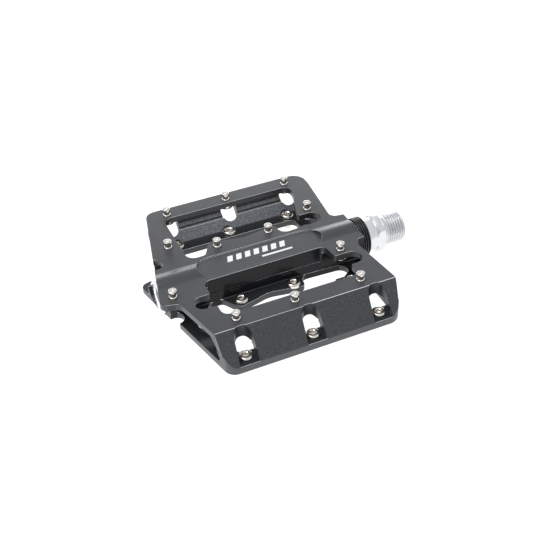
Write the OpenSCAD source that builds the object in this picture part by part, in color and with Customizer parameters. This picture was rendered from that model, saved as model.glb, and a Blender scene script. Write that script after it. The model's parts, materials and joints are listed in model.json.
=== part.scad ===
// Flat platform pedal, millimetres.
// The origin is the centre of the face that seats on the crank arm. +X points
// into the crank, +Z is up and the platform lies on the -X side. The underside
// is the top side after half a turn about the spindle, but for one corner: the
// lower plate's inboard corner on its long side is cut back, and its window
// reaches further inboard there.

/* [Platform] */
// Distance from the crank seat to the middle pin of the long side
platform_x = 57.5; // [56:0.1:62]
// Height of the platform's top face above the spindle axis
half_h = 7.5; // [7.2:0.1:9]
// Thickness of the top and bottom plates
plate_t = 3; // [2.8:0.1:3.2]
// Height of the upright edge that a plate has on its long side
edge_h = 3.4; // [3.2:0.1:3.8]
// Reach of the top plate on its long side, from the spindle axis
long_reach = 53.1; // [51:0.1:56]
// Reach of the top plate on its short side, from the spindle axis
short_reach = 42.4; // [41:0.1:44]
// Thickness of the slanted walls, measured level
wall_level_t = 5.8; // [5:0.1:7]
// Radius of the blend at the foot of the slanted walls' inner face
wall_foot_r = 1.5; // [0.5:0.1:3]

/* [Barrel] */
// Radius of the ridge that the barrel makes along both faces
ridge_r = 8.7; // [8.4:0.05:9.2]
// Radius of the hollow blend between the ridge and the plates
ridge_blend_r = 6; // [2:0.5:8]
// Half the width of the barrel's flat flanks
flank_y = 9.1; // [8.9:0.1:9.6]
// Inboard end of the barrel, from the middle pin
barrel_in_x = 44.6; // [44:0.1:46]
// Outboard end of the barrel, from the middle pin
barrel_out_x = -50.3; // [-52:0.1:-50]
// Radius of the bored seats for bush, bearings, seal and cap
seat_r = 7; // [6.8:0.05:7.2]
// Radius of the clearance bore between the seats
mid_bore_r = 5.8; // [5.5:0.1:6.2]
// Depth of the panel recess below the plate face
recess_depth = 0.5; // [0.2:0.1:0.8]

/* [Grip pins] */
// Radius of a pin's thread
pin_thread_r = 2; // [1.9:0.05:2.2]
// Radius of a pin's head
pin_head_r = 3.1; // [2.8:0.1:3.2]
// Height of a pin's head
pin_head_h = 1.9; // [1.5:0.1:2.2]
// Depth to which a pin's head is let into the plate
pin_seat_depth = 0.5; // [0.2:0.1:0.8]
// Height of a pin above the plate
pin_rise = 3.6; // [2.5:0.1:5]
// Key size of a pin's hex socket
pin_key = 2.5; // [2:0.5:3]

/* [Spindle] */
// Outer radius of the crank thread, 9/16 inch across
thread_r = 7.14; // [7.1:0.01:7.2]
// Length from the crank seat to the thread's end
thread_len = 11; // [10.5:0.1:13]
// Radius of the wrench collar
collar_r = 9; // [8.6:0.1:9.5]
// Length of the wrench collar
collar_len = 3.7; // [3:0.1:5]
// Chamfer of the wrench collar's two edges
collar_chamfer = 0.7; // [0.2:0.1:1]
// Distance across the wrench flats
wrench_af = 15; // [15:0.5:16]
// Radius of the plain boss between collar and seal
boss_r = 7.85; // [7.7:0.05:8]
// Radius of the journal that runs in the bush
journal_r = 6; // [5.8:0.05:6.2]
// Radius of the bearing seat
bearing_bore_r = 3.5; // [3.4:0.05:3.6]
// Running clearance of the journal and the seal, on the radius
running_gap = 0.05; // [0.02:0.01:0.09]

/* [Ball bearings] */
// Width of one cartridge bearing
bearing_w = 5; // [4.5:0.5:5]
// Radius of the circle through the ball centres
pitch_r = 5.25; // [5.2:0.05:5.3]
// Radius of a ball
ball_r = 1; // [0.9:0.05:1.05]
// Number of balls in a bearing
ball_count = 9; // [7:1:10]

/* [Hidden] */
$fn = 64;
eps = 0.01;
wall_run = long_reach - short_reach;
floor_h = half_h - plate_t;
edge_z = half_h - edge_h;
wall_slope = wall_run / (half_h + edge_z);
wall_top_y = short_reach + plate_t * wall_slope - wall_level_t;
wall_low_y = wall_top_y + 2 * floor_h * wall_slope;
deep = half_h + 4;
inner_bearing_x = -27;
outer_bearing_x = inner_bearing_x - bearing_w;
washer_x = outer_bearing_x - bearing_w;
washer_t = 1;
nut_x = washer_x - washer_t;
nut_h = 4.5;
stud_r = 3;
cap_r = 8;
cap_flange_t = 1;
cap_depth = 3.6;
spot_r = cap_r + 0.3;
oring_wire_r = 0.6;
oring_x = barrel_out_x + 1.7;
bush_len = 10;
bush_x = 41.5;
journal_x = bush_x - bush_len + 0.5;
boss_x = 47;
seal_out_x = 49.2;
seal_step_x = 46.5;
seal_r = 9.4;
body_far_x = -56;
bore_far_x = 60;
end_notch_r = 3.7;
end_notch_shift = 0.4;
head_seat_gap = 0.3;
pocket_right = 4.3;
pocket_left = -3.1;
pocket_mouth_left = -5.2;
pocket_mouth_y = -12;
pocket_reach = 5.6;
pocket_end_r = 3.6;
window_reach = 44.4;
upper_corner_x = 42;
lower_corner_x = 38.5;
recess_x0 = -32;
recess_x1 = 27.2;
recess_half_w = 7;
recess_end_r = 6.9;
land_gap = 0.5;
groove_gap = 0.04;
shield_t = 0.3;
shield_inset = 0.35;
shield_gap = 0.15;

// Pin positions on the top face, as [x, y] from the middle pin's cross line
rear_pins = [[-30, 47.6], [0, 47.6], [31, 47.6]];
side_pins = [[-37.9, 22.2], [31.4, 22.2]];
lobe_pins = [[-17.7, 13.3], [7.4, 13.3]];
end_pins = [[-47.6, -12.7], [30.2, -14.2]];
front_pins = [[-29.2, -37.4], [-3, -37.4], [27.7, -37.4]];
all_pins = concat(rear_pins, side_pins, lobe_pins, end_pins, front_pins);

// ---- Outlines -------------------------------------------------------------

function unit(v) = v / norm(v);

// Arc that rounds corner p, between its neighbours a and b, to radius r
function corner_arc(a, p, b, r, steps) =
    let (
        u = unit(a - p),
        w = unit(b - p),
        half = acos(u * w) / 2,
        c = p + unit(u + w) * r / sin(half),
        s = p + u * r / tan(half) - c,
        e = p + w * r / tan(half) - c,
        start = atan2(s.y, s.x),
        turn = (atan2(e.y, e.x) - start + 900) % 360 - 180
    )
    [for (k = [0:steps]) c + r * [cos(start + turn * k / steps), sin(start + turn * k / steps)]];

// Closed outline through corners given as [x, y, radius]
function rounded(corners, steps = 8) =
    let (n = len(corners))
    [for (i = [0:n - 1])
        let (
            before = corners[(i + n - 1) % n],
            here = corners[i],
            after = corners[(i + 1) % n]
        )
        each corner_arc(
            [before.x, before.y], [here.x, here.y], [after.x, after.y], here.z, steps
        )
    ];

// Plan of one half of the platform, with its long side's inboard corner at corner_x
function plan_corners(corner_x) = [
    [-38.9, long_reach, 5],
    [corner_x, long_reach, 6.5],
    [42, 43, 8],
    [38.3, 11, 3.2],
    [barrel_in_x, 10.2, 0.6],
    [barrel_in_x, -10.2, 0.6],
    [38.8, -11, 3.2],
    [42, -42.5, 8],
    [lower_corner_x, -long_reach, 6.5],
    [-40, -long_reach, 6],
    [-40.6, -43, 6],
    [-46.5, -18.4, 3.2],
    [-54.5, -16.4, 3]
];

// Opening of the top plate on the long side, with scallops around the pins
long_window = [
    [-32.9, window_reach, 4],
    [31.6, window_reach, 3.5],
    [31.3, 38, 6],
    [24.6, 18.6, 1.2],
    [34.1, 18.6, 4.1],
    [34.1, 10.3, 4.1],
    [12.2, 9.2, 3.9],
    [12, 16.9, 2.2],
    [-5, 13.9, 12],
    [-20, 18, 2.2],
    [-25, 9.2, 2.4],
    [-32.9, 9.2, 4.2]
];

// Opening of the top plate on the short side, with a key slot at each end
short_window = [
    [-32.9, -8.8, 3.5],
    [24.9, -8.8, 3],
    [25.6, -17.6, 1],
    [36.5, -17.6, 4.1],
    [36.5, -25.9, 4.1],
    [29.3, -25.9, 1],
    [29.6, -33.2, 3],
    [-32.9, -33.2, 3.4],
    [-32.9, -25.9, 1],
    [-41.5, -25.9, 4],
    [-41.5, -17.7, 4],
    [-32.9, -17.7, 1]
];

// Further reach of the lower plate's window towards the crank
lower_reach = [
    [24, window_reach, 1],
    [38.2, window_reach, 3],
    [38.6, 30.5, 3],
    [24, 30.5, 1]
];

// Key pocket that cuts into the slanted wall, drawn about its lower pin
pocket = [
    [pocket_mouth_left, pocket_mouth_y, 1],
    [pocket_left, pocket_reach, pocket_end_r],
    [pocket_right, pocket_reach, pocket_end_r],
    [pocket_right, pocket_mouth_y, 1]
];

// Recessed panel along the ridge
recess = [
    [recess_x0, -recess_half_w, recess_end_r],
    [recess_x1, -recess_half_w, recess_end_r],
    [recess_x1, recess_half_w, recess_end_r],
    [recess_x0, recess_half_w, recess_end_r]
];

// Places children from the middle pin's cross line to the crank seat's frame
module at_platform() {
    translate([-platform_x, 0, 0]) children();
}

// Turns children half a turn about the spindle
module turned_over() {
    rotate([180, 0, 0]) children();
}

// A round bar or bore along X between two places
module bar(x0, x1, r) {
    translate([x0, 0, 0]) rotate([0, 90, 0]) cylinder(h = x1 - x0, r = r);
}

// A ring along X between two places
module ring(x0, x1, r_out, r_in) {
    difference() {
        bar(x0, x1, r_out);
        bar(x0 - 1, x1 + 1, r_in);
    }
}

// ---- Platform body ----------------------------------------------------------

// Points of the ridge over the plate, from its short side to its long side
function ridge_line(steps = 8) =
    let (
        reach = ridge_r + ridge_blend_r,
        rise = half_h + ridge_blend_r,
        blend_y = sqrt(reach * reach - rise * rise),
        lean = asin(blend_y / reach)
    )
    concat(
        [for (k = [0:steps])
            let (a = lean * k / steps)
            [-blend_y + ridge_blend_r * sin(a), rise - ridge_blend_r * cos(a)]],
        [for (k = [1:2 * steps - 1])
            let (a = lean * (k / steps - 1))
            [ridge_r * sin(a), ridge_r * cos(a)]],
        [for (k = [steps:-1:0])
            let (a = lean * k / steps)
            [blend_y - ridge_blend_r * sin(a), rise - ridge_blend_r * cos(a)]]
    );

// Hollow between barrel and slanted wall on the short side of the top plate
module hollow_section() {
    polygon(rounded([
        [-flank_y, -floor_h, 0.6],
        [-flank_y, floor_h, 0.6],
        [-wall_top_y, floor_h, 1.5],
        [-wall_low_y, -floor_h, wall_foot_r]
    ]));
}

// Cross-section of the platform, the same along its whole length
module platform_section() {
    top_line = concat([[-short_reach, half_h]], ridge_line(), [[long_reach, half_h], [long_reach, edge_z]]);
    difference() {
        polygon(concat(top_line, -top_line));
        hollow_section();
        rotate(180) hollow_section();
    }
}

// Bar of one half's plan, from the spindle axis upwards
module half_plan(corner_x) {
    linear_extrude(height = deep) polygon(rounded(plan_corners(corner_x)));
}

// Cuts that are made from above into the upper half
module upper_cuts() {
    // plate openings
    linear_extrude(height = deep) polygon(rounded(long_window));
    linear_extrude(height = deep) polygon(rounded(short_window));
    // key access to the lower end pin, at the outboard edge
    translate([end_pins[0].x, -end_pins[0].y - end_notch_shift, -floor_h])
        cylinder(h = deep + floor_h, r = end_notch_r);
    // key access through the slanted wall to the lower pins of the long side
    for (p = rear_pins)
        translate([p.x, -p.y, -edge_z])
            linear_extrude(height = deep + edge_z) polygon(rounded(pocket));
    // threaded holes and head seats of the upper pins
    for (p = all_pins) {
        translate([p.x, p.y, 0]) cylinder(h = deep, r = pin_thread_r);
        translate([p.x, p.y, floor_h - 3])
            cylinder(h = 3 + pin_seat_depth, r = pin_head_r + head_seat_gap);
    }
    // recessed panel across the ridge
    translate([0, 0, half_h - recess_depth])
        linear_extrude(height = deep) polygon(rounded(recess));
}

// Bored seats of bush, bearings, seal and cap
module barrel_bores() {
    bar(-bore_far_x, barrel_out_x, spot_r);
    bar(-bore_far_x, inner_bearing_x, seat_r);
    bar(-bore_far_x, bore_far_x, mid_bore_r);
    bar(bush_x - bush_len, bore_far_x, seat_r);
}

module platform_body() {
    color([0.17, 0.18, 0.19])
    at_platform()
    difference() {
        intersection() {
            translate([body_far_x, 0, 0])
                rotate([90, 0, 90])
                linear_extrude(height = barrel_in_x - body_far_x) platform_section();
            union() {
                half_plan(upper_corner_x);
                turned_over() half_plan(lower_corner_x);
            }
        }
        upper_cuts();
        turned_over() upper_cuts();
        turned_over() linear_extrude(height = deep) polygon(rounded(lower_reach));
        barrel_bores();
    }
}

// ---- Grip pins --------------------------------------------------------------

// One grip pin standing on the plate face, head below the plate
module grip_pin() {
    head_top = pin_seat_depth - plate_t;
    head_low = head_top - pin_head_h;
    head_edge = 0.5;
    shank_r = pin_thread_r - 0.02;
    collar_h = 0.65;
    collar_edge = 0.25;
    neck_r = 1.4;
    tip_r = 1.65;
    tip_edge = 0.2;
    socket_deep = 1.6;
    difference() {
        rotate_extrude() polygon([
            [0, head_low],
            [pin_head_r - head_edge, head_low],
            [pin_head_r, head_low + head_edge],
            [pin_head_r, head_top],
            [shank_r, head_top],
            [shank_r, collar_h - collar_edge],
            [shank_r - collar_edge, collar_h],
            [neck_r, collar_h],
            [tip_r, pin_rise - tip_edge],
            [tip_r - tip_edge, pin_rise],
            [0, pin_rise]
        ]);
        translate([0, 0, head_low - 1]) cylinder(h = socket_deep + 1, r = pin_key / sqrt(3), $fn = 6);
    }
}

module pin_group(places) {
    color([0.82, 0.82, 0.8])
    at_platform()
    for (p = places) translate([p.x, p.y, half_h]) grip_pin();
}

module upper_rear_pins() { pin_group(rear_pins); }
module upper_side_pins() { pin_group(side_pins); }
module upper_lobe_pins() { pin_group(lobe_pins); }
module upper_end_pins() { pin_group(end_pins); }
module upper_front_pins() { pin_group(front_pins); }
module lower_front_pins() { turned_over() pin_group(rear_pins); }
module lower_side_pins() { turned_over() pin_group(side_pins); }
module lower_lobe_pins() { turned_over() pin_group(lobe_pins); }
module lower_end_pins() { turned_over() pin_group(end_pins); }
module lower_rear_pins() { turned_over() pin_group(front_pins); }

// ---- Pieces fixed in the barrel ------------------------------------------------

// Ribbed rubber seal, pressed into the inboard end of the barrel
module dust_seal() {
    rib_count = 4;
    rib_pitch = (seal_out_x - barrel_in_x) / rib_count;
    rib_w = 0.62 * rib_pitch;
    rib_lead = 0.1;
    groove_r = 8.4;
    color([0.06, 0.06, 0.07])
    at_platform()
    difference() {
        union() {
            bar(bush_x + 0.2, barrel_in_x, seat_r);
            bar(barrel_in_x, seal_out_x, groove_r);
            for (i = [0:rib_count - 1])
                let (rib_x = barrel_in_x + rib_lead + i * rib_pitch)
                    bar(rib_x, rib_x + rib_w, seal_r);
        }
        bar(bush_x - 1, seal_step_x, journal_r + running_gap);
        bar(seal_step_x - eps, seal_out_x + 1, boss_r + running_gap);
    }
}

module inboard_bush() {
    color([0.72, 0.55, 0.3])
    at_platform()
    ring(bush_x - bush_len, bush_x, seat_r, journal_r + running_gap);
}

// Screwed cap of the outboard end, with a hex socket
module end_cap() {
    cap_key = 6;
    socket_deep = 3;
    groove_w = 1.4;
    groove_r = seat_r - 2 * oring_wire_r - 0.04;
    color([0.8, 0.81, 0.82])
    at_platform()
    difference() {
        union() {
            bar(barrel_out_x - cap_flange_t, barrel_out_x, cap_r);
            bar(barrel_out_x, barrel_out_x + cap_depth, seat_r - 0.02);
        }
        ring(oring_x - groove_w / 2, oring_x + groove_w / 2, seat_r + 1, groove_r);
        translate([barrel_out_x - cap_flange_t - 1, 0, 0])
            rotate([0, 90, 0]) cylinder(h = socket_deep + 1, r = cap_key / sqrt(3), $fn = 6);
    }
}

module cap_o_ring() {
    color([0.07, 0.07, 0.07])
    at_platform()
    translate([oring_x, 0, 0])
        rotate([0, 90, 0])
        rotate_extrude() translate([seat_r - oring_wire_r - 0.02, 0]) circle(r = oring_wire_r, $fn = 24);
}

// ---- Ball bearings, each drawn from its inboard face ---------------------------

// Puts children at the middle of a bearing, its axis turned onto X
module in_bearing(face_x) {
    at_platform()
    translate([face_x - bearing_w / 2, 0, 0])
        rotate([0, 90, 0]) children();
}

module outer_race(face_x) {
    color([0.75, 0.76, 0.78])
    in_bearing(face_x)
    rotate_extrude()
    difference() {
        translate([pitch_r + land_gap, -bearing_w / 2])
            square([seat_r - pitch_r - land_gap, bearing_w]);
        translate([pitch_r, 0]) circle(r = ball_r + groove_gap);
    }
}

module inner_race(face_x) {
    color([0.75, 0.76, 0.78])
    in_bearing(face_x)
    rotate_extrude()
    difference() {
        translate([bearing_bore_r, -bearing_w / 2])
            square([pitch_r - land_gap - bearing_bore_r, bearing_w]);
        translate([pitch_r, 0]) circle(r = ball_r + groove_gap);
    }
}

module shields(face_x) {
    color([0.12, 0.12, 0.13])
    in_bearing(face_x)
    for (side = [-1, 1])
        translate([0, 0, side * (bearing_w / 2 - shield_inset) - shield_t / 2])
            difference() {
                cylinder(h = shield_t, r = pitch_r + land_gap);
                translate([0, 0, -1]) cylinder(h = 3, r = pitch_r - land_gap + shield_gap);
            }
}

module balls(face_x) {
    color([0.85, 0.86, 0.88])
    in_bearing(face_x)
    for (i = [0:ball_count - 1])
        rotate(i * 360 / ball_count) translate([pitch_r, 0, 0]) sphere(r = ball_r, $fn = 32);
}

module cage(face_x) {
    cage_w = 2.8;
    cage_t = 0.6;
    pocket_r = ball_r + 0.05;
    color([0.55, 0.42, 0.2])
    in_bearing(face_x)
    difference() {
        translate([0, 0, -cage_w / 2]) cylinder(h = cage_w, r = pitch_r + cage_t / 2);
        translate([0, 0, -cage_w]) cylinder(h = 2 * cage_w, r = pitch_r - cage_t / 2);
        for (i = [0:ball_count - 1])
            rotate(i * 360 / ball_count)
                rotate([0, 90, 0]) cylinder(h = pitch_r + 2, r = pocket_r, $fn = 32);
    }
}

module inner_bearing_outer_race() { outer_race(inner_bearing_x); }
module inner_bearing_shields() { shields(inner_bearing_x); }
module inner_bearing_inner_race() { inner_race(inner_bearing_x); }
module inner_bearing_balls() { balls(inner_bearing_x); }
module inner_bearing_cage() { cage(inner_bearing_x); }
module outer_bearing_outer_race() { outer_race(outer_bearing_x); }
module outer_bearing_shields() { shields(outer_bearing_x); }
module outer_bearing_inner_race() { inner_race(outer_bearing_x); }
module outer_bearing_balls() { balls(outer_bearing_x); }
module outer_bearing_cage() { cage(outer_bearing_x); }

// ---- Spindle and what is fixed on it ---------------------------------------------

// Round collar with both edges chamfered, from x0 to x1
module chamfered_bar(x0, x1, r, chamfer) {
    translate([x0, 0, 0])
        rotate([0, 90, 0])
        rotate_extrude()
        polygon([
            [0, 0], [r - chamfer, 0], [r, chamfer],
            [r, x1 - x0 - chamfer], [r - chamfer, x1 - x0], [0, x1 - x0]
        ]);
}

module spindle() {
    body_r = 5;
    shoulder_r = 4.6;
    shoulder_w = 1.2;
    end_chamfer = 0.6;
    flat_len = 6.6;
    centre_deep = 2;
    stud_end = nut_x - nut_h - 1.5;
    color([0.8, 0.81, 0.82])
    difference() {
        union() {
            at_platform() {
                bar(stud_end, washer_x, stud_r);
                bar(washer_x, inner_bearing_x, bearing_bore_r);
                bar(inner_bearing_x, inner_bearing_x + shoulder_w, shoulder_r);
                bar(inner_bearing_x + shoulder_w, journal_x, body_r);
                bar(journal_x, boss_x, journal_r);
            }
            bar(boss_x - platform_x, -collar_len, boss_r);
            chamfered_bar(-collar_len, 0, collar_r, collar_chamfer);
            bar(-eps, thread_len - end_chamfer, thread_r);
            translate([thread_len - end_chamfer, 0, 0])
                rotate([0, 90, 0]) cylinder(h = end_chamfer, r1 = thread_r, r2 = thread_r - end_chamfer);
        }
        // wrench flats
        for (side = [-1, 1])
            translate([-flat_len, side * (wrench_af / 2 + 3) - 3, -12]) cube([flat_len + eps, 6, 24]);
        // lathe centre in the crank end
        translate([thread_len - centre_deep, 0, 0])
            rotate([0, 90, 0]) cylinder(h = centre_deep + eps, r1 = 0.6, r2 = 2.6);
    }
}

module keyed_washer() {
    color([0.7, 0.7, 0.68])
    at_platform()
    ring(nut_x, washer_x, pitch_r - land_gap, stud_r);
}

module locknut() {
    nut_key = 10;
    face_r = 5.1;
    color([0.7, 0.7, 0.72])
    at_platform()
    difference() {
        intersection() {
            translate([nut_x - nut_h, 0, 0])
                rotate([0, 90, 0]) cylinder(h = nut_h, r = nut_key / sqrt(3), $fn = 6);
            translate([nut_x - nut_h, 0, 0])
                rotate([0, 90, 0]) cylinder(h = nut_h, r1 = face_r, r2 = face_r + nut_h);
        }
        bar(nut_x - nut_h - 1, nut_x + 1, stud_r);
    }
}

// ---- Nodes ----------------------------------------------------------------------

platform_body();
upper_rear_pins();
upper_side_pins();
upper_lobe_pins();
upper_end_pins();
upper_front_pins();
lower_front_pins();
lower_side_pins();
lower_lobe_pins();
lower_end_pins();
lower_rear_pins();
dust_seal();
inboard_bush();
end_cap();
cap_o_ring();
inner_bearing_outer_race();
inner_bearing_shields();
inner_bearing_inner_race();
inner_bearing_balls();
inner_bearing_cage();
outer_bearing_outer_race();
outer_bearing_shields();
outer_bearing_inner_race();
outer_bearing_balls();
outer_bearing_cage();
spindle();
keyed_washer();
locknut();
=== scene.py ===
"""The looks of a flat platform pedal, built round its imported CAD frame.

The frame's origin is the centre of the face that seats on the crank arm, +X points into the crank
and +Z is up. The platform body and the pieces sealed inside its barrel stay as CAD nodes with better
materials. Spindle, seal, end cap and grip pins are replaced by detailed meshes.
"""

import json
import math

import bmesh
import bpy
from mathutils import Matrix, Vector


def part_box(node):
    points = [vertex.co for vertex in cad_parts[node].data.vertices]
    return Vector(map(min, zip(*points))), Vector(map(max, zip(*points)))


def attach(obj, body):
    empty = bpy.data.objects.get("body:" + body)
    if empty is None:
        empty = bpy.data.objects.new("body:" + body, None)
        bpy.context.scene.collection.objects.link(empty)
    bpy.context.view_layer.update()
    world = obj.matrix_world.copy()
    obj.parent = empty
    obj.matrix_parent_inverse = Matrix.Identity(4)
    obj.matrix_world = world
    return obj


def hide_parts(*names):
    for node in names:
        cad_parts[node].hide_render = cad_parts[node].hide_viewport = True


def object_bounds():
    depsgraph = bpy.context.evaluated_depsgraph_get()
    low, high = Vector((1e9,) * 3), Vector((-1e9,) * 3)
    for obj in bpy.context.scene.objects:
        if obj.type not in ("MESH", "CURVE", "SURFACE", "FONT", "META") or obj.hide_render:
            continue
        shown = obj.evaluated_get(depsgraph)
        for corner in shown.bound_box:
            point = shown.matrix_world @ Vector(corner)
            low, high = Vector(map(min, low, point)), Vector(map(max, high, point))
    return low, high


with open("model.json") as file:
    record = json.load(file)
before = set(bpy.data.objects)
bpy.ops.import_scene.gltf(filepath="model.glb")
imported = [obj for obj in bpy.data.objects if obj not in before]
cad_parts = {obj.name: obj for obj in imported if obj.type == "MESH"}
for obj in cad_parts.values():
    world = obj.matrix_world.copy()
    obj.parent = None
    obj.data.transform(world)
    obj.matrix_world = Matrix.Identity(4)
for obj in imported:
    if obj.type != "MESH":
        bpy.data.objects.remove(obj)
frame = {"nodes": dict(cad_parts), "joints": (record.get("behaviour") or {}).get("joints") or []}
cad_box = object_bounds()

MM = 0.001

# ---- Places on the platform, from the spindle axis and, along X, from the middle pins ----------

PLATFORM_X = Vector(frame["joints"][0]["pos_m"]).x
PANEL_Z = 7 * MM
PLATE_INNER = 4.5 * MM
FLANK = 9.1 * MM
FLANK_STEP = 3 * MM
LONG_EDGE_Y = 50 * MM
OUTBOARD_END_X = -38 * MM
INBOARD_END_X = 34 * MM
WALL_NORMAL = Vector((0, -0.735, 0.678)).normalized()
# Rims facing this way get a painted highlight
HIGHLIGHT_NORMAL = Vector((0, -0.4, 0.917)).normalized()

# ---- Camera, floor and light ----------------------------------------------------------------

CAMERA_PLACE = Vector((-176.80, -295.26, 238.07)) * MM
CAMERA_TURN = (52.468, 2.002, -24.238)
CAMERA_LENS = 57.85
CAMERA_SENSOR = 36
FLOOR_REACH = 3.0
FLOOR_DROP = 60 * MM
FLOOR_SHADE = (0.6, 0.6, 0.6, 1)
FLOOR_GLOW = 0.56
SKY_SHADE = (0.955, 0.975, 1, 1)
SKY_STRENGTH = 0.8


def make_camera():
    data = bpy.data.cameras.new("camera")
    data.lens = CAMERA_LENS
    data.sensor_width = CAMERA_SENSOR
    data.clip_start = 10 * MM
    data.clip_end = 10
    camera = bpy.data.objects.new("camera", data)
    camera.location = CAMERA_PLACE
    camera.rotation_euler = [math.radians(a) for a in CAMERA_TURN]
    bpy.context.scene.collection.objects.link(camera)
    bpy.context.scene.camera = camera


def make_floor():
    level = cad_box[0].z - FLOOR_DROP
    sides = [(-1, -1), (1, -1), (1, 1), (-1, 1)]
    mesh = bpy.data.meshes.new("floor")
    mesh.from_pydata([(x * FLOOR_REACH, y * FLOOR_REACH, level) for x, y in sides], [], [(0, 1, 2, 3)])
    floor = bpy.data.objects.new("floor", mesh)
    bpy.context.scene.collection.objects.link(floor)
    paint = Paint("floor_pale")
    paint.set("Base Color", FLOOR_SHADE)
    paint.set("Roughness", 0.9)
    paint.set("Specular IOR Level", 0.1)
    paint.set("Emission Color", (1, 1, 1, 1))
    paint.set("Emission Strength", FLOOR_GLOW)
    floor.data.materials.append(paint.material)


def make_softbox(name, side, distance, size, radiance):
    """A flat light, seen from the pedal in direction side. Metres, and radiance 1 is white."""
    centre = (cad_box[0] + cad_box[1]) / 2
    data = bpy.data.lights.new(name, "AREA")
    data.shape = "RECTANGLE"
    data.size, data.size_y = size
    data.energy = radiance * math.pi * size[0] * size[1]
    light = bpy.data.objects.new(name, data)
    light.location = centre + Vector(side).normalized() * distance
    light.rotation_euler = (centre - light.location).to_track_quat("-Z", "Y").to_euler()
    light.visible_camera = False
    bpy.context.scene.collection.objects.link(light)


def make_lights():
    # The first is mirrored by the far side of the ridge, the second lights floor and top faces
    make_softbox("behind", (0.31, 0.88, 0.14), 1.2, (1.8, 0.6), 2.6)
    make_softbox("above_left", (-0.45, 0.1, 1.0), 1.0, (0.6, 0.6), 3.6)
    world = bpy.data.worlds.new("studio")
    bpy.context.scene.world = world
    world.use_nodes = True
    world.node_tree.nodes["Background"].inputs["Color"].default_value = SKY_SHADE
    world.node_tree.nodes["Background"].inputs["Strength"].default_value = SKY_STRENGTH
    bpy.context.scene.view_settings.view_transform = "Standard"


# ---- Materials ------------------------------------------------------------------------------


class Paint:
    """A material with one Principled shader, and short ways to add nodes to it."""

    def __init__(self, name):
        self.material = bpy.data.materials.new(name)
        self.material.use_nodes = True
        self.tree = self.material.node_tree
        self.shader = self.tree.nodes["Principled BSDF"]
        self.place = self.tree.nodes.new("ShaderNodeTexCoord")

    def set(self, socket, value):
        self.shader.inputs[socket].default_value = value

    def add(self, kind, inputs=None, **settings):
        """A node with its settings and its inputs, which are sockets or constants."""
        node = self.tree.nodes.new(kind)
        for key, value in settings.items():
            setattr(node, key, value)
        for key, value in (inputs or {}).items():
            self.feed(node.inputs[key], value)
        return node

    def feed(self, socket, value):
        if isinstance(value, bpy.types.NodeSocket):
            self.tree.links.new(value, socket)
        else:
            socket.default_value = value

    def math(self, operation, a, b=0.0):
        return self.add("ShaderNodeMath", {0: a, 1: b}, operation=operation).outputs[0]

    def size(self, value):
        return self.math("ABSOLUTE", value)

    def above(self, value, limit):
        return self.math("GREATER_THAN", value, limit)

    def below(self, value, limit):
        return self.math("LESS_THAN", value, limit)

    def larger(self, a, b):
        return self.math("MAXIMUM", a, b)

    def dot(self, a, b):
        node = self.add("ShaderNodeVectorMath", {0: a, 1: b}, operation="DOT_PRODUCT")
        return node.outputs["Value"]

    def between(self, value, low, high):
        """1 where the value lies between low and high, else 0."""
        return self.both(self.above(value, low), self.below(value, high))

    def both(self, a, b):
        """The product: of two masks, where both hold."""
        return self.math("MULTIPLY", a, b)

    def split(self, vector):
        return self.add("ShaderNodeSeparateXYZ", {0: vector}).outputs

    def noise(self, scale, detail=2.0, rough=0.5, stretch=(1, 1, 1)):
        """Noise from 0 to 1 in the piece's own space. scale is in features per metre."""
        place = self.place.outputs["Object"]
        spread = self.add("ShaderNodeMapping", {"Vector": place, "Scale": stretch})
        inputs = {"Vector": spread.outputs[0], "Scale": scale, "Detail": detail, "Roughness": rough}
        return self.add("ShaderNodeTexNoise", inputs).outputs["Fac"]

    def ramp(self, value, low, high, out_low=0.0, out_high=1.0):
        inputs = {
            "Value": value, "From Min": low, "From Max": high,
            "To Min": out_low, "To Max": out_high,
        }
        return self.add("ShaderNodeMapRange", inputs).outputs["Result"]

    def mix(self, share, a, b):
        """Colour a where share is 0, and b where it is 1."""
        node = self.add("ShaderNodeMix", data_type="RGBA")
        self.feed(node.inputs["Factor"], share)
        self.feed(node.inputs[6], a)
        self.feed(node.inputs[7], b)
        return node.outputs[2]

    def bump(self, height, strength, distance):
        node = self.add(
            "ShaderNodeBump", {"Height": height, "Strength": strength, "Distance": distance}
        )
        self.feed(self.shader.inputs["Normal"], node.outputs[0])

    def link(self, socket, value):
        self.feed(self.shader.inputs[socket], value)


# A face is level, or faces along an axis, where its normal has this share on that axis
LEVEL_SHARE = 0.9
UPRIGHT_SHARE = 0.3
FACE_PLAY = 0.1 * MM

# White marks on the panel: slanted bars and a thin line, ranges along X and across
BARS_X = (-18 * MM, 11 * MM)
BARS_Y = (0.2 * MM, 4.2 * MM)
BAR_LEAN = 0.35
BAR_PITCH = 4.2 * MM
BAR_SHARE = 0.6
LINE_X = (-2.5 * MM, 12.2 * MM)
LINE_Y = (-3 * MM, -1.8 * MM)
MARK_WHITE = (0.8, 0.8, 0.8, 1)

# Shades of the anodised surfaces, where a tone is a number of times the plain black, and gloss. The lit
# tones and the flank's tone are painted light and shade, the bright edge a painted highlight.
BLACK = (0.0235, 0.0248, 0.0275)
MOTTLE_TONES = (0.85, 1.15)
OUTER_LEVEL_LIT_TONES = (1.4, 1.75)
BLASTED_TONE = 2.2
INNER_WALL_LIT_TONES = (3.8, 9.5)
UPRIGHT_LIT_TONE = 2.6
FLANK_SHADE_TONE = 0.5
WORN_EDGE = (0.05, 0.052, 0.055, 1)
PAINTED_EDGE_HIGHLIGHT = (0.75, 0.76, 0.78, 1)
ANODISED_IOR = 1.55
SATIN_ROUGH = (0.3, 0.36)
BLASTED_ROUGH = 0.16
DRAWN_GLOSS = 0.17
FLANK_SPECULAR = 0.15


def tone(base, times):
    return (*[c * times for c in base], 1)


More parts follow.
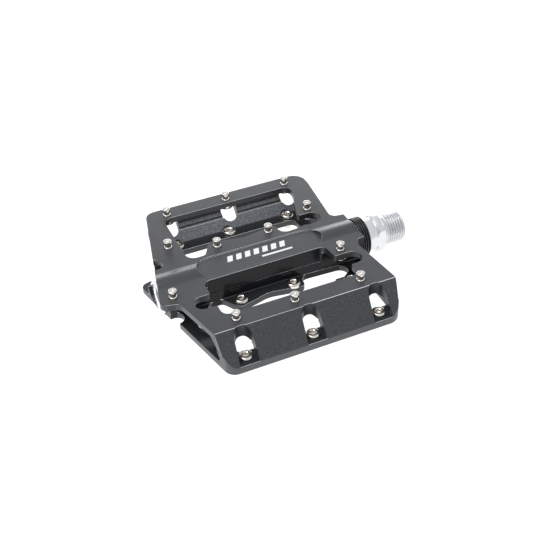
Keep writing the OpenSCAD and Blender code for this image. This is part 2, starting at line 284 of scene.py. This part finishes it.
def stripe_mask(paint, place, facing):
    """White marks on the recessed panel of both faces: a row of slanted bars and a thin line."""
    x, y, z = place[:3]
    along = paint.math("SUBTRACT", x, PLATFORM_X)
    across = paint.both(y, paint.math("SIGN", z))
    leaning = paint.math("SUBTRACT", along, paint.math("MULTIPLY", across, BAR_LEAN))
    start = paint.math("SUBTRACT", leaning, BARS_X[0])
    phase = paint.math("FRACT", paint.math("DIVIDE", start, BAR_PITCH))
    bars = paint.both(paint.between(leaning, *BARS_X), paint.between(across, *BARS_Y))
    bars = paint.both(bars, paint.below(phase, BAR_SHARE))
    line = paint.both(paint.between(along, *LINE_X), paint.between(across, *LINE_Y))
    panel = paint.both(
        paint.between(paint.size(z), PANEL_Z - FACE_PLAY, PANEL_Z + FACE_PLAY),
        paint.above(paint.size(facing[2]), LEVEL_SHARE),
    )
    return paint.both(panel, paint.larger(bars, line))


def lit_upright_mask(paint, place, facing):
    """The platform's outer upright faces: the long edges and both ends. They get painted light, a
    lighter tone.
    """
    x, y = place[:2]
    upright = paint.below(paint.size(facing[2]), UPRIGHT_SHARE)
    edge = paint.above(paint.size(y), LONG_EDGE_Y)
    outboard = paint.both(
        paint.below(x, PLATFORM_X + OUTBOARD_END_X), paint.below(facing[0], -UPRIGHT_SHARE)
    )
    inboard = paint.both(
        paint.above(x, PLATFORM_X + INBOARD_END_X), paint.above(facing[0], UPRIGHT_SHARE)
    )
    return paint.both(upright, paint.larger(edge, paint.larger(outboard, inboard)))


def foot_highlight_mask(paint, place):
    """The corner along the foot of the barrel's flank, where it meets the inside of a plate. It gets a
    painted highlight line.
    """
    y, z = paint.size(place[1]), paint.size(place[2])
    return paint.both(
        paint.between(y, FLANK - 0.4 * MM, FLANK + 0.5 * MM),
        paint.between(z, PLATE_INNER - 0.4 * MM, PLATE_INNER + FACE_PLAY),
    )


def anodised_paint(name, is_edge):
    """Black anodised aluminium: satin faces, blasted slanted walls and glossy drawn inner walls.

    The edges' material is the same with worn rims and painted highlights, and the faces' material
    carries the marks.
    Painted light and shade: outer level and upright faces and the inner slanted walls are painted
    lighter, and the barrel's flank darker.
    """
    paint = Paint(name)
    place = paint.split(paint.place.outputs["Object"])
    y, z = place[1:3]
    normal = paint.place.outputs["Normal"]
    facing = paint.split(normal)
    slant = paint.dot(normal, WALL_NORMAL)
    blasted = paint.ramp(paint.size(slant), 0.955, 0.985)
    inner_wall = paint.both(blasted, paint.above(paint.both(slant, y), 0))
    inside = paint.below(paint.size(z), PLATE_INNER + FACE_PLAY)
    near_axis = paint.below(paint.size(y), FLANK + FLANK_STEP)
    flank = paint.above(paint.both(paint.size(facing[1]), near_axis), LEVEL_SHARE)
    level = paint.above(paint.size(facing[2]), LEVEL_SHARE)
    lit_outer_level = paint.both(level, paint.math("SUBTRACT", 1.0, inside))
    drawn = paint.larger(flank, paint.both(level, inside))

    mottle = paint.noise(90, 3, 0.55)
    speck = paint.ramp(paint.noise(1700, 2, 0.6), 0.42, 0.66)
    shade = paint.mix(mottle, *[tone(BLACK, times) for times in MOTTLE_TONES])
    # Painted light: the outer level faces are painted lighter, standing for the light they catch
    shade = paint.mix(lit_outer_level, shade, paint.mix(mottle, *[tone(BLACK, times) for times in OUTER_LEVEL_LIT_TONES]))
    shade = paint.mix(paint.both(blasted, speck), shade, tone(BLACK, BLASTED_TONE))
    # Painted light: the inner slanted walls are painted much lighter, standing for the light falling on
    # them through the windows, with specks between the two tones
    walls = paint.mix(speck, *[tone(BLACK, times) for times in INNER_WALL_LIT_TONES])
    shade = paint.mix(inner_wall, shade, walls)
    # Painted light: the outer upright faces are painted lighter, standing for the light falling on them
    shade = paint.mix(lit_upright_mask(paint, place, facing), shade, tone(BLACK, UPRIGHT_LIT_TONE))
    # Painted shade: the barrel's flank inside the windows is painted darker than the plain black,
    # standing for the shade there
    shade = paint.mix(flank, shade, tone(BLACK, FLANK_SHADE_TONE))
    if is_edge:
        worn = paint.ramp(paint.noise(220, 3, 0.6), 0.35, 0.65, 0.3, 0.6)
        # Painted highlight: rims facing one direction and the flank's foot are painted bright, standing
        # for a light's reflection
        painted_highlight = paint.ramp(paint.size(paint.dot(normal, HIGHLIGHT_NORMAL)), 0.955, 0.975)
        shade = paint.mix(worn, shade, WORN_EDGE)
        shade = paint.mix(paint.larger(painted_highlight, foot_highlight_mask(paint, place)), shade, PAINTED_EDGE_HIGHLIGHT)
    else:
        shade = paint.mix(stripe_mask(paint, place, facing), shade, MARK_WHITE)
    paint.link("Base Color", shade)

    rough = paint.ramp(mottle, 0.3, 0.7, *SATIN_ROUGH)
    rough = paint.math("ADD", rough, paint.math("MULTIPLY", blasted, BLASTED_ROUGH))
    rough = paint.math("SUBTRACT", rough, paint.math("MULTIPLY", drawn, DRAWN_GLOSS))
    paint.link("Roughness", rough)
    paint.set("IOR", ANODISED_IOR)
    paint.link("Specular IOR Level", paint.ramp(flank, 0, 1, 0.5, FLANK_SPECULAR))
    grain = paint.noise(2600, 3, 0.6)
    drawn_lines = paint.noise(900, 2, 0.5, (0.06, 1, 1))
    relief = paint.both(grain, paint.math("ADD", paint.math("MULTIPLY", blasted, 0.9), 0.12))
    relief = paint.math("ADD", relief, paint.math("MULTIPLY", drawn_lines, 0.1))
    paint.bump(relief, 0.55, 0.12 * MM)
    return paint.material


def turned_metal(name, colour, rough, ring_scale, groove_r=None):
    """Metal turned on a lathe about X: fine rings round the axis, slight colour variation.

    With groove_r, what lies inside that radius on the crank side of the origin is darker: painted shade
    in the thread's grooves.
    """
    paint = Paint(name)
    mottle = paint.noise(140, 3, 0.6)
    rings = paint.noise(ring_scale, 2, 0.6, (1, 0.02, 0.02))
    shade = paint.mix(mottle, tone(colour, 0.92), tone(colour, 1.08))
    if groove_r:
        x, y, z = paint.split(paint.place.outputs["Object"])[:3]
        square = paint.math("ADD", paint.both(y, y), paint.both(z, z))
        radius = paint.math("SQRT", square)
        # Painted shade: darker towards the thread's roots, standing for shade in the grooves
        painted_groove_shade = paint.ramp(radius, groove_r, groove_r - 0.5 * MM)
        painted_groove_shade = paint.both(painted_groove_shade, paint.above(x, 0.0))
        shade = paint.mix(painted_groove_shade, shade, tone(colour, 0.75))
    paint.link("Base Color", shade)
    uneven = paint.math("ADD", mottle, rings)
    paint.link("Roughness", paint.ramp(uneven, 0.6, 1.4, rough * 0.8, rough * 1.25))
    paint.set("Metallic", 1.0)
    paint.bump(rings, 0.25, 0.03 * MM)
    return paint.material


def plated_metal(name, colour, rough):
    """Plated steel of small parts: bright, with a faint uneven sheen and fine pitting."""
    paint = Paint(name)
    mottle = paint.noise(420, 3, 0.6)
    paint.link("Base Color", paint.mix(mottle, tone(colour, 0.86), tone(colour, 1)))
    paint.link("Roughness", paint.ramp(mottle, 0.3, 0.7, rough * 0.75, rough * 1.3))
    paint.set("Metallic", 1.0)
    paint.bump(paint.noise(1500, 2, 0.5), 0.12, 0.03 * MM)
    return paint.material


def rubber(name, colour, rough):
    """Moulded rubber: near black, dull, with fine moulding grain."""
    paint = Paint(name)
    mottle = paint.noise(300, 4, 0.6)
    paint.link("Base Color", paint.mix(mottle, tone(colour, 1), tone(colour, 1.7)))
    paint.link("Roughness", paint.ramp(mottle, 0.3, 0.7, rough * 0.8, rough * 1.2))
    paint.bump(paint.noise(2400, 3, 0.6), 0.2, 0.04 * MM)
    return paint.material


# ---- Mesh helpers -----------------------------------------------------------------------------


def circle(radius):
    return lambda angle: radius


def hexagon(key):
    """Hexagon of that key size, with corners at 0, 60, 120 ... degrees."""
    sixth = math.pi / 3
    return lambda angle: key / 2 / math.cos(angle % sixth - sixth / 2)


def arc_points(centre, radius, start, end, steps):
    """Points on an arc as (radius from the axis, height), angles in degrees."""
    turns = [math.radians(start + (end - start) * k / steps) for k in range(steps + 1)]
    return [(centre[0] + radius * math.cos(t), centre[1] + radius * math.sin(t)) for t in turns]


def revolved(bm, rings, angles, place):
    """A closed skin round Z through rings of (outline, height). Its two ends close on the axis.

    outline gives the distance from the axis at an angle, and height is a number.
    """
    rows = []
    for outline, height in rings:
        row = []
        for angle in angles:
            r = outline(angle)
            corner = Vector((r * math.cos(angle), r * math.sin(angle), height))
            row.append(bm.verts.new(place @ corner))
        rows.append(row)
    count = len(angles)
    for low, high in zip(rows, rows[1:]):
        for k in range(count):
            after = (k + 1) % count
            bm.faces.new((low[k], low[after], high[after], high[k]))
    for row, height, flip in ((rows[0], rings[0][1], True), (rows[-1], rings[-1][1], False)):
        tip = bm.verts.new(place @ Vector((0, 0, height)))
        for k in range(count):
            after = (k + 1) % count
            corner = (row[k], row[after])
            bm.faces.new((corner[1], corner[0], tip) if flip else (corner[0], corner[1], tip))


def tube(bm, profile, angles, place):
    """A ring with a closed profile of (radius, height) points, turned round Z."""
    rows = []
    for angle in angles:
        around = Vector((math.cos(angle), math.sin(angle), 0))
        rows.append([bm.verts.new(place @ (around * r + Vector((0, 0, h)))) for r, h in profile])
    count, points = len(rows), len(profile)
    for k in range(count):
        here, there = rows[k], rows[(k + 1) % count]
        for i in range(points):
            j = (i + 1) % points
            bm.faces.new((here[i], here[j], there[j], there[i]))


def even_angles(count):
    return [2 * math.pi * k / count for k in range(count)]


def finish_piece(name, bm, material, body, node, smooth_angle):
    """Turns the mesh in hand into a piece that rides on a body and stands for a CAD node."""
    bmesh.ops.recalc_face_normals(bm, faces=bm.faces)
    mesh = bpy.data.meshes.new(name)
    bm.to_mesh(mesh)
    bm.free()
    for face in mesh.polygons:
        face.use_smooth = True
    mesh.set_sharp_from_angle(angle=math.radians(smooth_angle))
    mesh.materials.append(material)
    piece = bpy.data.objects.new(name, mesh)
    bpy.context.scene.collection.objects.link(piece)
    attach(piece, body)
    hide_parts(node)


def solids_of(node, apart):
    """Boxes (low, high) of a node's solids, which lie further than apart from each other in plan."""
    groups = []
    for vertex in frame["nodes"][node].data.vertices:
        for group in groups:
            if (group[0].xy - vertex.co.xy).length < apart:
                group.append(vertex.co)
                break
        else:
            groups.append([vertex.co])
    boxes = []
    for group in groups:
        low = Vector([min(p[i] for p in group) for i in range(3)])
        high = Vector([max(p[i] for p in group) for i in range(3)])
        boxes.append((low, high))
    return boxes


# ---- Grip pins --------------------------------------------------------------------------------

PIN_RISE = 3.6 * MM
PIN_HEAD_H = 1.9 * MM
PIN_KEY = 2.5 * MM
PIN_THREAD_R = 1.98 * MM
PIN_FOOT_R = 1.8 * MM
PIN_FOOT_H = 0.6 * MM
PIN_NECK_R = 1.45 * MM
PIN_TIP_R = 1.82 * MM
PIN_SOCKET_DEPTH = 1.5 * MM
THREAD_CUT = 0.36 * MM
SOFT_EDGE = 0.25 * MM
PIN_THREAD_PITCH = 0.7 * MM
PINS_APART = 7 * MM


def pin_rings(low, high, head_r):
    """Rings of one grip pin from the head's socket out to the tip, for heights low to high."""
    seat = low + PIN_HEAD_H
    face = high - PIN_RISE
    socket = PIN_KEY / 2 / math.cos(math.pi / 6)
    rings = [
        (circle(0.3 * MM), low + PIN_SOCKET_DEPTH + 0.25 * MM),
        (hexagon(PIN_KEY), low + PIN_SOCKET_DEPTH),
        (hexagon(PIN_KEY), low + 0.25 * MM),
        (circle(socket + 0.18 * MM), low + 0.08 * MM),
        (circle(socket + 0.26 * MM), low),
    ]
    round_r = 0.75 * MM
    for r, h in arc_points((head_r - round_r, low + round_r), round_r, -90, 0, 6):
        rings.append((circle(r), h))
    rings += [
        (circle(head_r), seat - 0.12 * MM),
        (circle(head_r - 0.12 * MM), seat),
        (circle(PIN_THREAD_R), seat),
    ]
    turns = int((face + 0.3 * MM - seat) / PIN_THREAD_PITCH)
    for k in range(turns):
        at = seat + (k + 0.3) * PIN_THREAD_PITCH
        rings += [
            (circle(PIN_THREAD_R), at),
            (circle(PIN_THREAD_R - THREAD_CUT), at + 0.35 * PIN_THREAD_PITCH),
            (circle(PIN_THREAD_R), at + 0.7 * PIN_THREAD_PITCH),
        ]
    lip = face + PIN_FOOT_H
    rings.append((circle(PIN_FOOT_R), face + 0.05 * MM))
    rings.append((circle(PIN_FOOT_R), lip - SOFT_EDGE))
    for r, h in arc_points((PIN_FOOT_R - SOFT_EDGE, lip - SOFT_EDGE), SOFT_EDGE, 15, 90, 4):
        rings.append((circle(r), h))
    rings += [
        (circle(PIN_NECK_R + 0.05 * MM), lip + 0.02 * MM),
        (circle(PIN_NECK_R), lip + 0.12 * MM),
        (circle(PIN_NECK_R + 0.05 * MM), lip + 0.9 * MM),
        (circle(PIN_TIP_R - 0.03 * MM), high - 1.2 * MM),
        (circle(PIN_TIP_R), high - 0.9 * MM),
    ]
    for r, h in arc_points((PIN_TIP_R - SOFT_EDGE, high - SOFT_EDGE), SOFT_EDGE, 0, 90, 4):
        rings.append((circle(r), h))
    rings += [
        (circle(0.62 * MM), high),
        (circle(0.5 * MM), high - 0.07 * MM),
        (circle(0.12 * MM), high - 0.1 * MM),
    ]
    return rings


def make_pins(material):
    angles = even_angles(48)
    groups = [n for n in frame["nodes"] if n.endswith("_pins")]
    for node in sorted(groups):
        bm = bmesh.new()
        for low, high in solids_of(node, PINS_APART):
            centre = (low + high) / 2
            span = high.z - low.z
            upward = high.z > -low.z
            turn = Matrix.Identity(4) if upward else Matrix.Rotation(math.pi, 4, "X")
            place = Matrix.Translation((centre.x, centre.y, centre.z)) @ turn
            head_r = (high.x - low.x) / 2
            revolved(bm, pin_rings(-span / 2, span / 2, head_r), angles, place)
        finish_piece(node + "_detailed", bm, material, "platform", node, 30)


# ---- Spindle, seal and cap -----------------------------------------------------------------------

ALONG_X = Matrix.Rotation(math.pi / 2, 4, "Y")
PITCH = 25.4 / 20 * MM
THREAD_DEPTH = 0.7 * MM
NECK_LEN = 2.2 * MM
NECK_DROP = 0.35 * MM
WRENCH_HALF = 7.5 * MM
COLLAR_LEN = 3.7 * MM
COLLAR_R = 9 * MM
COLLAR_EDGE = 0.7 * MM
BOSS_R = 7.85 * MM
FLAT_LEN = 6.6 * MM
JOURNAL_R = 6 * MM
SHANK_R = 5 * MM
SHOULDER_R = 4.6 * MM
BEARING_SEAT_R = 3.5 * MM
STUD_R = 3 * MM
THREAD_R = 7.14 * MM
GROOVE_R = 7 * MM
THREAD_END_R = 6.2 * MM
CENTRE_HOLE_R = 2.6 * MM
RUNNING_GAP = 0.05 * MM


def with_flats(radius):
    """Circle cut by the two wrench flats, which face -Y and +Y."""
    return lambda angle: min(radius, WRENCH_HALF / max(1e-6, abs(math.sin(angle))))


def thread_outline(outer, x, start, end):
    """Outline of a left-hand thread's cross-section at x.

    The thread fades in at its start and is chamfered at its end.
    """
    chamfer = 0.75 * MM

    def outline(angle):
        turn = (x / PITCH + angle / (2 * math.pi)) % 1
        flank = abs(2 * turn - 1)
        depth = THREAD_DEPTH * min(1, max(0, 1.25 * flank - 0.12))
        depth *= min(1, max(0, (x - start) / (0.5 * PITCH)))
        top = outer - max(0, x - (end - chamfer))
        return min(outer - depth, top)

    return outline


def make_spindle(material):
    low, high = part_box("spindle")
    end = high.x
    boss_x = PLATFORM_X + 47 * MM
    journal_x = PLATFORM_X + 32 * MM
    bearing_x = PLATFORM_X - 27 * MM
    washer_x = PLATFORM_X - 37 * MM
    edge = 0.3 * MM

    def step(x, small, large):
        """Rings of a shoulder at x, with the larger side's edge broken."""
        return [(circle(small), x), (circle(large - edge), x), (circle(large), x + edge)]

    rings = [(circle(STUD_R - edge), low.x), (circle(STUD_R), low.x + edge)]
    rings += step(washer_x, STUD_R, BEARING_SEAT_R)
    rings += step(bearing_x, BEARING_SEAT_R, SHOULDER_R)
    rings += step(bearing_x + 1.2 * MM, SHOULDER_R, SHANK_R)
    rings += step(journal_x, SHANK_R, JOURNAL_R)
    rings += step(boss_x, JOURNAL_R, BOSS_R)
    rings += [
        (circle(BOSS_R), -FLAT_LEN),
        (with_flats(BOSS_R), -FLAT_LEN + 0.01 * MM),
        (with_flats(BOSS_R), -COLLAR_LEN),
        (with_flats(COLLAR_R - COLLAR_EDGE), -COLLAR_LEN),
        (with_flats(COLLAR_R), -COLLAR_LEN + COLLAR_EDGE),
        (with_flats(COLLAR_R), -COLLAR_EDGE),
        (with_flats(COLLAR_R - COLLAR_EDGE), 0),
        (circle(THREAD_R - NECK_DROP), 0.01 * MM),
        (circle(THREAD_R - NECK_DROP), NECK_LEN - 0.3 * MM),
    ]
    rows = int((end - NECK_LEN) / PITCH * 16)
    for k in range(rows + 1):
        x = NECK_LEN + (end - NECK_LEN) * k / rows
        rings.append((thread_outline(THREAD_R, x, NECK_LEN, end), x))
    rings += [
        (circle(THREAD_END_R), end),
        (circle(CENTRE_HOLE_R), end),
        (circle(CENTRE_HOLE_R - 0.2 * MM), end - 0.2 * MM),
        (circle(0.6 * MM), end - 2 * MM),
    ]
    corner = math.asin(WRENCH_HALF / COLLAR_R)
    corners = [corner, math.pi - corner, math.pi + corner, 2 * math.pi - corner]
    bm = bmesh.new()
    revolved(bm, rings, sorted(even_angles(96) + corners), ALONG_X)
    bmesh.ops.remove_doubles(bm, verts=bm.verts, dist=0.0005 * MM)
    finish_piece("spindle_detailed", bm, material, "spindle_set", "spindle", 32)


def make_seal(material):
    low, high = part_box("dust_seal")
    rib_r = high.z
    root_r = rib_r - 0.9 * MM
    spigot_r = 7 * MM
    bore_r = BOSS_R + RUNNING_GAP
    lip_r = JOURNAL_R + RUNNING_GAP
    start = PLATFORM_X + 44.6 * MM
    step_x = PLATFORM_X + 46.5 * MM
    ribs = 4
    pitch = (high.x - start) / ribs
    width = 0.68 * pitch
    profile = [(spigot_r, low.x), (spigot_r, start), (root_r, start)]
    for k in range(ribs):
        middle = start + (k + 0.5) * pitch
        half = width / 2
        profile.append((root_r, middle - half))
        for r, x in arc_points((rib_r - half, middle), half, -90, 90, 8):
            profile.append((r, x))
        profile.append((root_r, middle + half))
    profile += [
        (root_r, high.x), (bore_r, high.x), (bore_r, step_x), (lip_r, step_x), (lip_r, low.x),
    ]
    bm = bmesh.new()
    tube(bm, profile, even_angles(96), ALONG_X)
    finish_piece("dust_seal_ribbed", bm, material, "platform", "dust_seal", 40)


def make_cap(material):
    low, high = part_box("end_cap")
    flange_r = high.z
    flange_x = low.x + 1 * MM
    plug_r = 6.98 * MM
    key = 6 * MM
    barrel_end_x = PLATFORM_X - 50.3 * MM
    groove_x = barrel_end_x + 1.7 * MM
    groove_r = 5.76 * MM
    edge = 0.25 * MM
    mouth = key / 2 / math.cos(math.pi / 6) + 0.25 * MM
    rings = [
        (circle(0.4 * MM), low.x + 3.4 * MM),
        (hexagon(key), low.x + 2.9 * MM),
        (hexagon(key), low.x + 0.35 * MM),
        (circle(mouth), low.x + 0.1 * MM),
        (circle(mouth + 0.15 * MM), low.x + 0.05 * MM),
        (circle(mouth + 0.8 * MM), low.x),
        (circle(mouth + 1.0 * MM), low.x + 0.12 * MM),
        (circle(mouth + 1.2 * MM), low.x),
        (circle(flange_r - edge), low.x),
        (circle(flange_r), low.x + edge),
        (circle(flange_r), flange_x - 0.1 * MM),
        (circle(flange_r - 0.1 * MM), flange_x),
        (circle(plug_r), flange_x),
        (circle(plug_r), groove_x - 0.7 * MM),
        (circle(groove_r), groove_x - 0.7 * MM),
        (circle(groove_r), groove_x + 0.7 * MM),
        (circle(plug_r), groove_x + 0.7 * MM),
        (circle(plug_r), high.x - edge),
        (circle(plug_r - edge), high.x),
    ]
    bm = bmesh.new()
    revolved(bm, rings, even_angles(72), ALONG_X)
    finish_piece("end_cap_turned", bm, material, "platform", "end_cap", 30)


# ---- Platform ----------------------------------------------------------------------------------

WELD_DISTANCE = 0.03 * MM
FLAT_ANGLE = 0.6
EDGE_BREAK = 0.22 * MM
SHARP_ANGLE = 40


def break_edges(node, faces, edges):
    """Gives a CAD node its materials and small rounded edges, which take the second material."""
    body = frame["nodes"][node]
    body.data.materials.clear()
    body.data.materials.append(faces)
    body.data.materials.append(edges)
    weld = body.modifiers.new("weld", "WELD")
    weld.merge_threshold = WELD_DISTANCE
    merge = body.modifiers.new("flat_faces", "DECIMATE")
    merge.decimate_type = "DISSOLVE"
    merge.angle_limit = math.radians(FLAT_ANGLE)
    bevel = body.modifiers.new("broken_edges", "BEVEL")
    bevel.width = EDGE_BREAK
    bevel.segments = 2
    bevel.limit_method = "ANGLE"
    bevel.angle_limit = math.radians(SHARP_ANGLE)
    bevel.use_clamp_overlap = False
    bevel.material = 1
    bevel.harden_normals = True


# ---- Everything ----------------------------------------------------------------------------------


def paint_node(node, material):
    data = frame["nodes"][node].data
    data.materials.clear()
    data.materials.append(material)


def make_all():
    faces = anodised_paint("anodised_black", is_edge=False)
    edges = anodised_paint("anodised_edges", is_edge=True)
    break_edges("platform_body", faces, edges)
    make_pins(plated_metal("pin_nickel", (0.83, 0.79, 0.74), 0.16))
    make_spindle(turned_metal("spindle_satin", (0.76, 0.775, 0.785), 0.34, 1500, GROOVE_R))
    make_seal(rubber("seal_black", (0.014, 0.014, 0.015), 0.2))
    make_cap(turned_metal("cap_bright", (0.86, 0.87, 0.88), 0.22, 1200))
    inner = {
        "inboard_bush": turned_metal("bush_bronze_turned", (0.6, 0.42, 0.2), 0.3, 1500),
        "cap_o_ring": rubber("o_ring_black", (0.014, 0.014, 0.014), 0.5),
        "keyed_washer": plated_metal("washer_zinc", (0.66, 0.66, 0.64), 0.35),
        "locknut": plated_metal("locknut_zinc", (0.66, 0.66, 0.67), 0.3),
    }
    steel = plated_metal("bearing_steel_ground", (0.75, 0.76, 0.78), 0.14)
    cage = plated_metal("cage_brass_pressed", (0.6, 0.42, 0.16), 0.3)
    shield = rubber("shield_black", (0.018, 0.018, 0.02), 0.5)
    for bearing in ("inner_bearing", "outer_bearing"):
        for part in ("outer_race", "inner_race", "balls"):
            inner[f"{bearing}_{part}"] = steel
        inner[f"{bearing}_cage"] = cage
        inner[f"{bearing}_shields"] = shield
    for node, material in inner.items():
        paint_node(node, material)


make_camera()
make_floor()
make_lights()
make_all()
